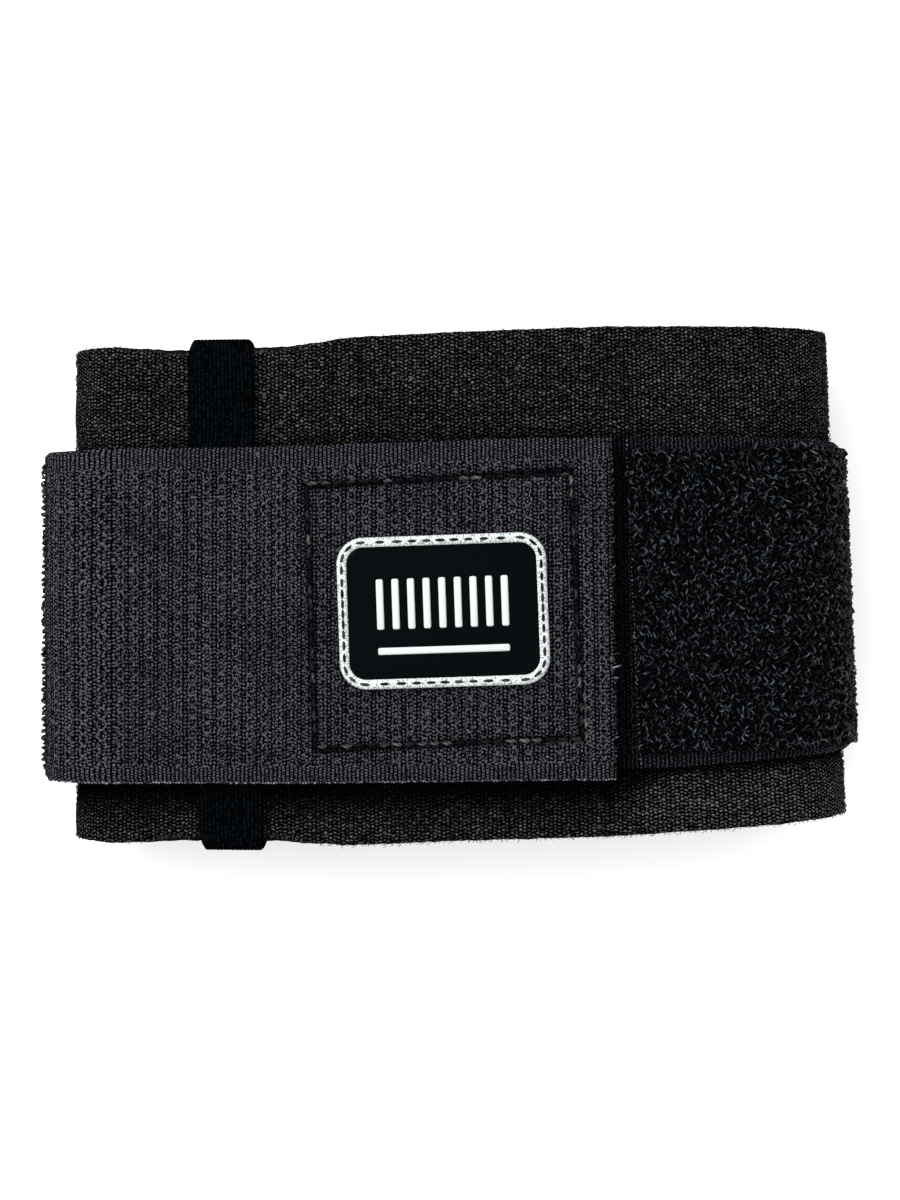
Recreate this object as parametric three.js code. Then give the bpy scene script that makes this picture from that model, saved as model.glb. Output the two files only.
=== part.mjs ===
// An elbow support, lying on its back with its strap fastened.
// It is a neoprene sleeve that goes round the forearm, a webbing keeper that is folded over both open edges of
// the sleeve, and a woven elastic strap. The strap starts under the keeper, passes once round the sleeve, laps
// over its own start and holds there by a patch of hook tape. A panel of loop pile covers it on the right.
//
// Millimetres. +X goes across the arm, +Y along the arm, and +Z up from the surface that the support lies on.
// Every piece is cut as a flat ply and wound on: a place on it is (run, y, lift), where run is the distance
// round the sleeve, y the distance along the arm and lift the height above the sleeve's outer face.
import * as THREE from "three";

// Sleeve
const SLEEVE_WIDTH = 147.6; // across the flattened tube
const SLEEVE_LENGTH = 96.5; // along the arm, at its longest
const SLEEVE_WALL = 3.2; // eighth-inch neoprene with its knit faces
const LEFT_FOLD_RADIUS = 13;
const RIGHT_FOLD_RADIUS = 16.5;
const FRONT_CROWN_RADIUS = 600; // the front face is slightly domed
const FOREARM_TAPER = 0.042; // lean of the right-hand side, towards the wider end
const SWELL = 0.5; // how far the sleeve stands out beside the strap that squeezes it
const SLEEVE_STATIONS = 96; // sections round the sleeve, which the wound plies share

// Strap
const STRAP_WIDTH = 63.5; // two-and-a-half-inch elastic
const STRAP_THICKNESS = 1.6;
const STRAP_BELOW_MIDDLE = 4.4; // the strap sits a little nearer the wide end
const STRAP_TAIL = 5.5; // its sewn end shows by this much beyond the keeper, under the last turn
const STRAP_END_X = 29.6; // free end, on the front
const STRAP_SLACK = 4.9; // the last turn stands off the left fold by this much

// Keeper
const KEEPER_WIDTH = 12.7; // half-inch webbing
const KEEPER_THICKNESS = 1.3;
const KEEPER_FROM_PATCH = 10; // between the keeper and the hook patch
const KEEPER_LEAN = 0.024; // sideways for each millimetre along the arm
const KEEPER_TAIL = 12; // turned in over each edge
const KEEPER_BEND = KEEPER_THICKNESS * 0.75; // middle radius where it turns over an edge
const KEEPER_PULL = 0.9; // how far it draws each edge of the front wall in
const KEEPER_PINCH = 1.1; // how much further it draws the outer knit in, which bares the cut foam

// Hook tape, loop pile and badge
const HOOK_SIZE = 50.8; // two-inch square
const HOOK_THICKNESS = 1.4;
const HOOK_FROM_END = 6.2; // bare strap beyond the patch
const HOOK_TURN = 0.03; // the patch is sewn on slightly turned
const PILE_MARGIN = 2.6; // flat selvedge on each side of the pile
const PILE_THICKNESS = 2.1;
const PILE_FROM_END = 4.7; // bare strap between the free end and the pile
const PILE_END_ANGLE = 55; // degrees below the middle of the right fold
const BADGE_WIDTH = 38.5;
const BADGE_HEIGHT = 28.5;
const BADGE_CORNER = 5;
const BADGE_PLATE_THICKNESS = 1;
const BADGE_FRAME_THICKNESS = 1.4;
const BADGE_FRAME_WIDTH = 1.5;

const PLY_GAP = 0.3; // clearance between neighbouring plies

// Where the plies of the front stack lie, as heights above the sleeve
const onSleeve = PLY_GAP;
const onStrap = onSleeve + STRAP_THICKNESS + PLY_GAP;
const onPatch = onStrap + Math.max(HOOK_THICKNESS, KEEPER_THICKNESS) + PLY_GAP;
const onLap = onPatch + STRAP_THICKNESS + PLY_GAP;

const smooth = (low, high, value) => {
  const share = Math.min(1, Math.max(0, (value - low) / (high - low)));
  return share * share * (3 - 2 * share);
};

// The sleeve's outer section: two fold circles, a flat back that touches both, and a wide arc over the front.
const backHeight = STRAP_THICKNESS + PLY_GAP;
const leftCentre = new THREE.Vector2(LEFT_FOLD_RADIUS - SLEEVE_WIDTH / 2, backHeight + LEFT_FOLD_RADIUS);
const rightCentre = new THREE.Vector2(SLEEVE_WIDTH / 2 - RIGHT_FOLD_RADIUS, backHeight + RIGHT_FOLD_RADIUS);

function crownCentre() {
  const toLeft = FRONT_CROWN_RADIUS - LEFT_FOLD_RADIUS;
  const toRight = FRONT_CROWN_RADIUS - RIGHT_FOLD_RADIUS;
  const across = rightCentre.clone().sub(leftCentre);
  const apart = across.length();
  const along = (apart * apart + toLeft * toLeft - toRight * toRight) / (2 * apart);
  const down = Math.sqrt(toLeft * toLeft - along * along);
  const direction = across.normalize();
  return new THREE.Vector2(
    leftCentre.x + direction.x * along + direction.y * down,
    leftCentre.y + direction.y * along - direction.x * down,
  );
}

const frontCentre = crownCentre();
const leftTouch = leftCentre.clone().sub(frontCentre).angle();
const rightTouch = rightCentre.clone().sub(frontCentre).angle();
const frontRun = FRONT_CROWN_RADIUS * (leftTouch - rightTouch);
const rightRun = RIGHT_FOLD_RADIUS * (rightTouch + Math.PI / 2);
const backRun = rightCentre.x - leftCentre.x;
const leftRun = LEFT_FOLD_RADIUS * ((3 * Math.PI) / 2 - leftTouch);
const girth = frontRun + rightRun + backRun + leftRun;

function onArc(centre, radius, angle) {
  const out = new THREE.Vector2(Math.cos(angle), Math.sin(angle));
  return { at: centre.clone().addScaledVector(out, radius), out };
}

// The place and outward direction at a run round the sleeve, from the left of the front and over it to the right.
function girthAt(run) {
  let rest = ((run % girth) + girth) % girth;
  if (rest < frontRun) return onArc(frontCentre, FRONT_CROWN_RADIUS, leftTouch - rest / FRONT_CROWN_RADIUS);
  rest -= frontRun;
  if (rest < rightRun) return onArc(rightCentre, RIGHT_FOLD_RADIUS, rightTouch - rest / RIGHT_FOLD_RADIUS);
  rest -= rightRun;
  if (rest < backRun) {
    return { at: new THREE.Vector2(rightCentre.x - rest, backHeight), out: new THREE.Vector2(0, -1) };
  }
  rest -= backRun;
  return onArc(leftCentre, LEFT_FOLD_RADIUS, (3 * Math.PI) / 2 - rest / LEFT_FOLD_RADIUS);
}

const runAtX = (x) => FRONT_CROWN_RADIUS * (leftTouch - Math.acos((x - frontCentre.x) / FRONT_CROWN_RADIUS));

// Winds a place on a flat ply round the arm. The right-hand side leans out towards the wide end of the sleeve.
function wound([run, y, lift]) {
  const { at, out } = girthAt(run);
  const place = at.addScaledVector(out, lift);
  const lean = FOREARM_TAPER * y * smooth(0, SLEEVE_WIDTH / 2, place.x);
  return new THREE.Vector3(place.x - lean, y, place.y);
}

// Where the plies start and end on the front, counted back from the strap's free end
const lapEnd = runAtX(STRAP_END_X);
const patchEnd = lapEnd - HOOK_FROM_END;
const patchStart = patchEnd - HOOK_SIZE;
const keeperRun = patchStart - KEEPER_FROM_PATCH - KEEPER_WIDTH / 2;
const strapStart = keeperRun - KEEPER_WIDTH / 2 - STRAP_TAIL;
const strapEnd = girth + lapEnd;

// The strap's course. Each row is a place round the sleeve, with the middle line's shift and the width as shares
// of the strap's width: it draws in where it is pulled tight. The second turn starts at the last left fold.
const strapCourse = [
  { run: strapStart, shift: 0, width: 0.93, lift: onSleeve },
  { run: lapEnd, shift: 0.022, width: 0.988, lift: onSleeve },
  { run: frontRun + rightRun / 2, shift: 0.045, width: 0.93, lift: onSleeve },
  { run: frontRun + rightRun, shift: 0.03, width: 0.96, lift: onSleeve },
  { run: frontRun + rightRun + backRun, shift: -0.01, width: 0.985, lift: onSleeve },
  { run: girth - leftRun / 2, shift: -0.022, width: 1, lift: STRAP_SLACK },
  { run: girth + lapEnd * 0.2, shift: -0.016, width: 1, lift: onPatch },
  { run: strapEnd, shift: 0.004, width: 1.012, lift: onPatch },
];

function strapAt(run) {
  const last = strapCourse.length - 1;
  let i = 0;
  while (i < last - 1 && run > strapCourse[i + 1].run) i += 1;
  const a = strapCourse[i];
  const b = strapCourse[i + 1];
  const share = smooth(a.run, b.run, run);
  const mixed = (key) => a[key] + (b[key] - a[key]) * share;
  const middle = mixed("shift") * STRAP_WIDTH - STRAP_BELOW_MIDDLE;
  const half = (mixed("width") * STRAP_WIDTH) / 2;
  return { low: middle - half, high: middle + half, lift: mixed("lift") };
}

// The run that the strap has where it first passes a place on the sleeve
const firstPass = (run) => (run < strapStart ? run + girth : run);

// How much the keeper holds the sleeve down at a run: fully under it, and not at all three widths away
const keeperHold = (run) => 1 - smooth(KEEPER_WIDTH * 0.65, KEEPER_WIDTH * 1.9, Math.abs(run - keeperRun));

// The cut of the sleeve's open edges. Each row is a place across it as a share of its width, with the middle
// line's shift and the length there as shares of the sleeve's length. Both walls are cut alike.
const sleeveCut = [
  { across: -0.5, shift: -0.015, length: 0.98 },
  { across: -0.4, shift: -0.018, length: 0.994 },
  { across: -0.2, shift: -0.014, length: 1 },
  { across: 0, shift: 0, length: 1 },
  { across: 0.2, shift: 0.01, length: 1 },
  { across: 0.35, shift: 0.018, length: 0.984 },
  { across: 0.5, shift: 0.028, length: 0.962 },
];

function sleeveEdges(run) {
  const across = girthAt(run).at.x / SLEEVE_WIDTH;
  let i = 0;
  while (i < sleeveCut.length - 2 && across > sleeveCut[i + 1].across) i += 1;
  const a = sleeveCut[i];
  const b = sleeveCut[i + 1];
  const share = (across - a.across) / (b.across - a.across);
  const mixed = (key) => (a[key] + (b[key] - a[key]) * share) * SLEEVE_LENGTH;
  const pulled = KEEPER_PULL * keeperHold(run);
  const low = mixed("shift") - mixed("length") / 2 + pulled;
  const high = mixed("shift") + mixed("length") / 2 - pulled;
  const pinched = KEEPER_PINCH * keeperHold(run);
  return { low, high, outerLow: low + pinched, outerHigh: high - pinched };
}

// Rows between the strap's edge (0) and the sleeve's open edge (1), with the swell of the sleeve there as a share
const swellRows = [
  { out: 0, swell: 0 },
  { out: 0.25, swell: 0.7 },
  { out: 0.6, swell: 1 },
  { out: 1, swell: 0.5 },
];

// Joins closed sections into one solid body. A ring closes on its first section, and a band gets two end faces.
function loft(sections, isRing) {
  const count = sections[0].length;
  const points = sections.flat();
  const faces = [];
  const steps = isRing ? sections.length : sections.length - 1;
  for (let i = 0; i < steps; i += 1) {
    const here = i * count;
    const next = ((i + 1) % sections.length) * count;
    for (let j = 0; j < count; j += 1) {
      const k = (j + 1) % count;
      faces.push(here + j, next + j, next + k, here + j, next + k, here + k);
    }
  }
  if (!isRing) {
    const last = (sections.length - 1) * count;
    for (let j = 1; j < count - 1; j += 1) {
      faces.push(0, j, j + 1);
      faces.push(last, last + j + 1, last + j);
    }
  }
  const geometry = new THREE.BufferGeometry().setFromPoints(points);
  geometry.setIndex(outward(points, faces));
  geometry.computeVertexNormals();
  return geometry;
}

// Turns all the faces round if the body that they close is inside out
function outward(points, faces) {
  let volume = 0;
  for (let i = 0; i < faces.length; i += 3) {
    const [a, b, c] = [points[faces[i]], points[faces[i + 1]], points[faces[i + 2]]];
    volume += a.dot(b.clone().cross(c));
  }
  return volume > 0 ? faces : faces.slice().reverse();
}

// The runs at which a wound ply has a section: its two ends, and those stations of the sleeve between them
function stations(from, to) {
  const step = girth / SLEEVE_STATIONS;
  const runs = [from];
  for (let i = Math.ceil(from / step); i * step < to; i += 1) {
    const isClear = i * step - from > step / 4 && to - i * step > step / 4;
    if (isClear) runs.push(i * step);
  }
  return [...runs, to];
}

// A rectangular section of a ply between two edges and two heights
const slab = (run, low, high, bottom, top) => [
  [run, low, bottom],
  [run, high, bottom],
  [run, high, top],
  [run, low, top],
];

function sleeveGeometry() {
  const sections = [];
  for (let i = 0; i < SLEEVE_STATIONS; i += 1) {
    const run = (girth * i) / SLEEVE_STATIONS;
    const edges = sleeveEdges(run);
    const strap = strapAt(firstPass(run));
    const free = 1 - keeperHold(run);
    const outer = [];
    const inner = [];
    for (const { out, swell } of swellRows) {
      const lift = SWELL * swell * free;
      outer.push([run, strap.high + (edges.outerHigh - strap.high) * out, lift]);
      inner.push([run, strap.high + (edges.high - strap.high) * out, lift - SLEEVE_WALL]);
    }
    for (const { out, swell } of swellRows) {
      const lift = SWELL * swell * free;
      outer.unshift([run, strap.low + (edges.outerLow - strap.low) * out, lift]);
      inner.unshift([run, strap.low + (edges.low - strap.low) * out, lift - SLEEVE_WALL]);
    }
    sections.push([...outer, ...inner.reverse()].map(wound));
  }
  return loft(sections, true);
}

function strapGeometry() {
  const sections = stations(strapStart, strapEnd).map((run) => {
    const { low, high, lift } = strapAt(run);
    return slab(run, low, high, lift, lift + STRAP_THICKNESS).map(wound);
  });
  return loft(sections, false);
}

// The keeper's middle line in (y, lift): a tail inside the sleeve, a turn over the edge, down the outside and
// over the strap's first turn, and the same at the other edge.
function keeperLine() {
  const edges = sleeveEdges(keeperRun);
  const strap = strapAt(keeperRun);
  const half = KEEPER_THICKNESS / 2;
  const inside = -SLEEVE_WALL - PLY_GAP - half;
  const outside = onSleeve + half;
  const over = onStrap + half;
  const rampStart = KEEPER_THICKNESS * 3;
  const rampEnd = KEEPER_THICKNESS;
  const turn = (edge, side) => {
    const tip = edge + side * (PLY_GAP + half);
    const root = tip - side * KEEPER_BEND;
    const slope = KEEPER_BEND * Math.SQRT1_2;
    return [
      [edge - side * KEEPER_TAIL, inside],
      [root, inside],
      [root + side * slope, inside + KEEPER_BEND - slope],
      [tip, inside + KEEPER_BEND],
      [tip, outside - KEEPER_BEND],
      [root + side * slope, outside - KEEPER_BEND + slope],
      [root, outside],
    ];
  };
  return [
    ...turn(edges.high, 1),
    [strap.high + rampStart, outside],
    [strap.high + rampEnd, over],
    [strap.low - rampEnd, over],
    [strap.low - rampStart, outside],
    ...turn(edges.low, -1).reverse(),
  ];
}

// Offsets an open line in (y, lift) sideways by a distance, with mitred corners
function offsetLine(line, distance) {
  const directions = line.slice(1).map(([y, lift], i) => {
    return new THREE.Vector2(y - line[i][0], lift - line[i][1]).normalize();
  });
  return line.map(([y, lift], i) => {
    const before = directions[Math.max(0, i - 1)];
    const after = directions[Math.min(directions.length - 1, i)];
    const mitre = new THREE.Vector2(-(before.y + after.y), before.x + after.x).normalize();
    const reach = distance / mitre.dot(new THREE.Vector2(-after.y, after.x));
    return [y + mitre.x * reach, lift + mitre.y * reach];
  });
}

function keeperGeometry() {
  const line = keeperLine();
  const inner = offsetLine(line, KEEPER_THICKNESS / 2);
  const outer = offsetLine(line, -KEEPER_THICKNESS / 2);
  const placed = ([y, lift], side) => [keeperRun - y * KEEPER_LEAN + (side * KEEPER_WIDTH) / 2, y, lift];
  const sections = line.map((_, i) => {
    const corners = [placed(inner[i], -1), placed(inner[i], 1), placed(outer[i], 1), placed(outer[i], -1)];
    return corners.map(wound);
  });
  return loft(sections, false);
}

// The hook patch lies between the two turns of the strap, a set distance back from the free end.
function hookGeometry() {
  const centre = (patchStart + patchEnd) / 2;
  const strap = strapAt(girth + centre);
  const middle = (strap.low + strap.high) / 2;
  const turned = ([run, y, lift]) => [run - HOOK_TURN * (y - middle), y + HOOK_TURN * (run - centre), lift];
  const sections = stations(patchStart, patchEnd).map((run) => {
    const section = slab(run, middle - HOOK_SIZE / 2, middle + HOOK_SIZE / 2, onStrap, onStrap + HOOK_THICKNESS);
    return section.map(turned).map(wound);
  });
  return loft(sections, false);
}

// The pile panel covers the strap from just past the free end to the underside of the right fold. Its edges slope.
function pileGeometry() {
  const from = lapEnd + PILE_FROM_END;
  const to = frontRun + RIGHT_FOLD_RADIUS * (rightTouch + THREE.MathUtils.degToRad(PILE_END_ANGLE));
  const slope = PILE_THICKNESS / 3;
  const sections = stations(from, to).map((run) => {
    const strap = strapAt(run);
    const middle = (strap.low + strap.high) / 2;
    const half = (strap.high - strap.low) / 2 - PILE_MARGIN;
    const top = onStrap + PILE_THICKNESS;
    return [
      [run, middle - half, onStrap],
      [run, middle + half, onStrap],
      [run, middle + half, top - slope],
      [run, middle + half - slope, top],
      [run, middle - half + slope, top],
      [run, middle - half, top - slope],
    ].map(wound);
  });
  return loft(sections, false);
}

// The outline of a rectangle with round corners, anticlockwise, with the outward direction at each point
function roundedOutline(width, height, radius) {
  const cornerSteps = 4;
  const points = [];
  for (let corner = 0; corner < 4; corner += 1) {
    const right = corner === 0 || corner === 3 ? 1 : -1;
    const up = corner < 2 ? 1 : -1;
    for (let i = 0; i <= cornerSteps; i += 1) {
      const angle = (Math.PI / 2) * (corner + i / cornerSteps);
      const out = new THREE.Vector2(Math.cos(angle), Math.sin(angle));
      const centre = new THREE.Vector2(right * (width / 2 - radius), up * (height / 2 - radius));
      points.push({ at: centre.addScaledVector(out, radius), out });
    }
  }
  return points;
}

// The badge sits over the middle of the hook patch.
const badgeRun = (patchStart + patchEnd) / 2;
const badgeStrap = strapAt(girth + badgeRun);
const onBadge = (x, y, lift) => wound([badgeRun + x, (badgeStrap.low + badgeStrap.high) / 2 + y, lift]);

function badgeFrameGeometry() {
  const outline = roundedOutline(BADGE_WIDTH, BADGE_HEIGHT, BADGE_CORNER);
  const top = onLap + BADGE_FRAME_THICKNESS;
  const sections = outline.map(({ at, out }) => {
    const inner = at.clone().addScaledVector(out, -BADGE_FRAME_WIDTH);
    return [
      onBadge(at.x, at.y, onLap),
      onBadge(inner.x, inner.y, onLap),
      onBadge(inner.x, inner.y, top),
      onBadge(at.x, at.y, top),
    ];
  });
  return loft(sections, true);
}

// The plate fills the frame with a small clearance. Its sections run across it, so that it follows the strap.
function badgePlateGeometry() {
  const inset = BADGE_FRAME_WIDTH + PLY_GAP;
  const outline = roundedOutline(BADGE_WIDTH - 2 * inset, BADGE_HEIGHT - 2 * inset, BADGE_CORNER - inset);
  const upper = outline.filter(({ at }) => at.y > 0);
  const top = onLap + BADGE_PLATE_THICKNESS;
  const sections = upper.map(({ at }) => {
    return [
      onBadge(at.x, -at.y, onLap),
      onBadge(at.x, at.y, onLap),
      onBadge(at.x, at.y, top),
      onBadge(at.x, -at.y, top),
    ];
  });
  return loft(sections, false);
}

function fabric(name, geometry, color, roughness, metalness = 0) {
  const mesh = new THREE.Mesh(geometry, new THREE.MeshStandardMaterial({ color, roughness, metalness }));
  mesh.name = name;
  return mesh;
}

const support = new THREE.Group();
support.add(
  fabric("sleeve", sleeveGeometry(), 0x1f2020, 0.95),
  fabric("strap", strapGeometry(), 0x34323a, 0.85),
  fabric("keeper", keeperGeometry(), 0x0a0d0f, 0.8),
  fabric("hook_patch", hookGeometry(), 0x101114, 0.7),
  fabric("loop_pile", pileGeometry(), 0x14181b, 0.9),
  fabric("badge_plate", badgePlateGeometry(), 0x0b0e10, 0.45),
  fabric("badge_frame", badgeFrameGeometry(), 0xc9cdca, 0.35, 0.6),
);

// The origin is the middle of the support on the surface that it lies on.
const bounds = new THREE.Box3().setFromObject(support);
const centre = bounds.getCenter(new THREE.Vector3());
support.position.set(-centre.x, -centre.y, -bounds.min.z);

export default support;
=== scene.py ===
# %% [markdown]
# # An elbow support, lying on its back
# A short neoprene sleeve goes round the forearm. A webbing keeper is folded over both of its open edges, and an
# elastic strap winds once round it and laps over its own start, where hook tape holds it. A panel of curled loop
# pile covers the strap on the right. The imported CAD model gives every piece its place, so it is loaded first.

import bpy
import bmesh
import math
import random
from mathutils import Matrix, Vector, noise


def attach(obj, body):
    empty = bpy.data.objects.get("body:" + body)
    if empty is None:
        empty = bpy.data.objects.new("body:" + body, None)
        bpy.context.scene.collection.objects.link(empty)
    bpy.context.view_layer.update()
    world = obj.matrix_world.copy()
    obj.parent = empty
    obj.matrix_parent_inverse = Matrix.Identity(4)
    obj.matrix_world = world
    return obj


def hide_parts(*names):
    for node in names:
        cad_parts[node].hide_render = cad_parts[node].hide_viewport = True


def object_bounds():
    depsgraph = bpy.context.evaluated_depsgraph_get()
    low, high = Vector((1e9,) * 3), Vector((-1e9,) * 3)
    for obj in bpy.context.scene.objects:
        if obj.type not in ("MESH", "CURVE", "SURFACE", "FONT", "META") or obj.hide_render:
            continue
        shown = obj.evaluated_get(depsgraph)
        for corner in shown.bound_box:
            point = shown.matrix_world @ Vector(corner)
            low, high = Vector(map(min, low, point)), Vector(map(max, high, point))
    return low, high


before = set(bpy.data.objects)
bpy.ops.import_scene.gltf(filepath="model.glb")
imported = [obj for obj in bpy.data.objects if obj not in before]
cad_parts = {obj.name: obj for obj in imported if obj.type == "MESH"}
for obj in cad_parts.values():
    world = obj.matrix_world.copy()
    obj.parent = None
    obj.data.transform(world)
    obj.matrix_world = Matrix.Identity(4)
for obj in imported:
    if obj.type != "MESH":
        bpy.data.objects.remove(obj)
cad_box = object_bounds()
print("CAD box", [tuple(round(c, 4) for c in corner) for corner in cad_box])

# %% [markdown]
# ## The shape that everything is wound on
# On the real support each piece is cut flat and then goes round the arm. It can be made the same way here. A
# piece is modelled flat, where a place is (run, y, lift): the distance round the sleeve, the distance along the
# arm and the height above the sleeve's outer face. Then one function winds each of its points onto the sleeve.
# The section is two fold circles, a flat back and a wide arc over the front, with the CAD model's sizes.

# %% Sizes, in millimetres
MM = 0.001
CENTRE_SHIFT = (0.49, 0.57)  # brings the middle of the support to the origin, as in the CAD model
SLEEVE_WIDTH = 147.6
SLEEVE_LENGTH = 96.5
SLEEVE_WALL = 3.2
LEFT_FOLD = 13
RIGHT_FOLD = 16.5
CROWN = 600
TAPER = 0.042
SWELL = 0.5
STRAP_WIDTH = 63.5
STRAP_THICKNESS = 1.6
STRAP_BELOW_MIDDLE = 4.4
STRAP_END_X = 29.6
STRAP_SLACK = 4.9
KEEPER_WIDTH = 12.7
KEEPER_THICKNESS = 1.3
KEEPER_RIBS = 15
HOOK_SIZE = 50.8
HOOK_THICKNESS = 1.4
HOOK_TURN = 0.034
PLY_GAP = 0.3

# How many faces each ply has along its length and across its width
SLEEVE_GRID = 300, 108
STRAP_GRID = 560, 62
KEEPER_GRID = 240, KEEPER_RIBS * 4
PATCH_GRID = 48, 48
PILE_GRID = 120, 60
PLATE_GRID = 40, 40
RIM_GRID = 240, 10

# Heights above the sleeve's outer face
on_sleeve = PLY_GAP
on_strap = on_sleeve + STRAP_THICKNESS + PLY_GAP
on_patch = on_strap + HOOK_THICKNESS + PLY_GAP
on_lap = on_patch + STRAP_THICKNESS

# %% The section and the winding
back_height = STRAP_THICKNESS + PLY_GAP
left_centre = Vector((LEFT_FOLD - SLEEVE_WIDTH / 2, back_height + LEFT_FOLD))
right_centre = Vector((SLEEVE_WIDTH / 2 - RIGHT_FOLD, back_height + RIGHT_FOLD))


def crown_centre():
    to_left, to_right = CROWN - LEFT_FOLD, CROWN - RIGHT_FOLD
    across = right_centre - left_centre
    apart = across.length
    along = (apart**2 + to_left**2 - to_right**2) / (2 * apart)
    down = math.sqrt(to_left**2 - along**2)
    across.normalize()
    return left_centre + along * across + down * Vector((across.y, -across.x))


front_centre = crown_centre()
left_touch = math.atan2(*reversed(left_centre - front_centre))
right_touch = math.atan2(*reversed(right_centre - front_centre))
front_run = CROWN * (left_touch - right_touch)
right_run = RIGHT_FOLD * (right_touch + math.pi / 2)
back_run = right_centre.x - left_centre.x
left_run = LEFT_FOLD * (3 * math.pi / 2 - left_touch)
girth = front_run + right_run + back_run + left_run


def on_arc(centre, radius, angle):
    out = Vector((math.cos(angle), math.sin(angle)))
    return centre + radius * out, out


def girth_at(run):
    """The place on the sleeve's outer face at a run, and the outward direction there."""
    rest = run % girth
    if rest < front_run:
        return on_arc(front_centre, CROWN, left_touch - rest / CROWN)
    rest -= front_run
    if rest < right_run:
        return on_arc(right_centre, RIGHT_FOLD, right_touch - rest / RIGHT_FOLD)
    rest -= right_run
    if rest < back_run:
        return Vector((right_centre.x - rest, back_height)), Vector((0, -1))
    rest -= back_run
    return on_arc(left_centre, LEFT_FOLD, 3 * math.pi / 2 - rest / LEFT_FOLD)


def run_at_x(x):
    return CROWN * (left_touch - math.acos((x - front_centre.x) / CROWN))


def smooth(low, high, value):
    """0 at low and 1 at high, eased; low may be the larger."""
    share = min(1, max(0, (value - low) / (high - low)))
    return share * share * (3 - 2 * share)


def wound(run, y, lift):
    """A place on a flat ply, in millimetres, wound onto the arm, in metres."""
    at, out = girth_at(run)
    x, z = at + lift * out
    x -= TAPER * y * smooth(0, SLEEVE_WIDTH / 2, x)
    return Vector((x + CENTRE_SHIFT[0], y + CENTRE_SHIFT[1], z)) * MM


lap_end = run_at_x(STRAP_END_X)
patch_end = lap_end - 6.2
patch_start = patch_end - HOOK_SIZE
patch_run = (patch_start + patch_end) / 2
keeper_run = patch_start - 10 - KEEPER_WIDTH / 2
strap_start = keeper_run - KEEPER_WIDTH / 2 - 5.5
strap_end = girth + lap_end
pile_end = front_run + RIGHT_FOLD * (right_touch + math.radians(55))
print("girth", round(girth, 1), "mm; strap", round(strap_end - strap_start, 1), "mm long")

# %% [markdown]
# ## The courses of the strap and the sleeve's edges
# The strap draws in where it is pulled round the right-hand fold, and stands off the left one. Short tables hold
# its course and the cut of the sleeve, as shares of their sizes, and the places between the rows are mixed.

# %% Tables and how they are read
strap_course = [
    (strap_start, 0, 0.93, on_sleeve),
    (lap_end, 0.022, 0.988, on_sleeve),
    (front_run + right_run / 2, 0.045, 0.93, on_sleeve),
    (front_run + right_run, 0.03, 0.96, on_sleeve),
    (front_run + right_run + back_run, -0.01, 0.985, on_sleeve),
    (girth - left_run / 2, -0.022, 1, STRAP_SLACK),
    (girth + lap_end * 0.2, -0.016, 1, on_patch),
    (strap_end, 0.004, 1.012, on_patch),
]
sleeve_cut = [
    (-0.5, -0.015, 0.98),
    (-0.4, -0.018, 0.994),
    (-0.2, -0.014, 1),
    (0, 0, 1),
    (0.2, 0.01, 1),
    (0.35, 0.018, 0.984),
    (0.5, 0.028, 0.962),
]


def between(table, place, ease):
    """The row of a table at a place: the mix of the two rows that it lies between."""
    i = 0
    while i < len(table) - 2 and place > table[i + 1][0]:
        i += 1
    a, b = table[i], table[i + 1]
    share = (place - a[0]) / (b[0] - a[0])
    if ease:
        share = smooth(0, 1, share)
    return [p + (q - p) * share for p, q in zip(a[1:], b[1:])]


def strap_at(run):
    shift, width, lift = between(strap_course, run, True)
    middle = shift * STRAP_WIDTH - STRAP_BELOW_MIDDLE
    half = width * STRAP_WIDTH / 2
    return middle - half, middle + half, lift


def strap_span(run):
    """The lowest and highest edge of the turns of the strap over a place on the sleeve."""
    turns = [strap_at(r) for r in (run, run + girth) if strap_start <= r <= strap_end]
    return min(turn[0] for turn in turns), max(turn[1] for turn in turns)


def keeper_hold(run):
    apart = abs((run - keeper_run + girth / 2) % girth - girth / 2)
    return 1 - smooth(KEEPER_WIDTH * 0.65, KEEPER_WIDTH * 1.9, apart)


def sleeve_edges(run):
    """The sleeve's low and high edges at a run, and how far the outer knit is drawn in from them."""
    shift, length = between(sleeve_cut, girth_at(run)[0].x / SLEEVE_WIDTH, False)
    hold = keeper_hold(run)
    low = (shift - length / 2) * SLEEVE_LENGTH + 0.9 * hold
    high = (shift + length / 2) * SLEEVE_LENGTH - 0.9 * hold
    return low, high, 1.1 * hold


def ripple(run, y, size, seed=0):
    """A soft, even unevenness between -1 and 1, for bumps of the given size."""
    at = girth_at(run)[0]
    return noise.noise(Vector((at.x / size, y / size, at.y / size + seed * 7.3)))


# %% [markdown]
# ## Helpers for flat plies
# A ply starts as a grid that is extruded into a flat slab. Its points are then placed one by one, first on the
# flat and then on the arm, and each face corner keeps its flat place in millimetres as its UV. So the weaves,
# which read the UV, keep their real size and follow the cloth round every fold.

# %% Making a ply and finishing a piece
def flat_slab(along, across):
    """A closed slab, x and y from -0.5 to 0.5, z 0 underneath and 1 on top."""
    bm = bmesh.new()
    bmesh.ops.create_grid(bm, x_segments=along, y_segments=across, size=0.5)
    made = bmesh.ops.extrude_face_region(bm, geom=bm.faces[:])
    raised = [v for v in made["geom"] if isinstance(v, bmesh.types.BMVert)]
    bmesh.ops.translate(bm, vec=(0, 0, 1), verts=raised)
    bmesh.ops.recalc_face_normals(bm, faces=bm.faces[:])
    return bm


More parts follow.
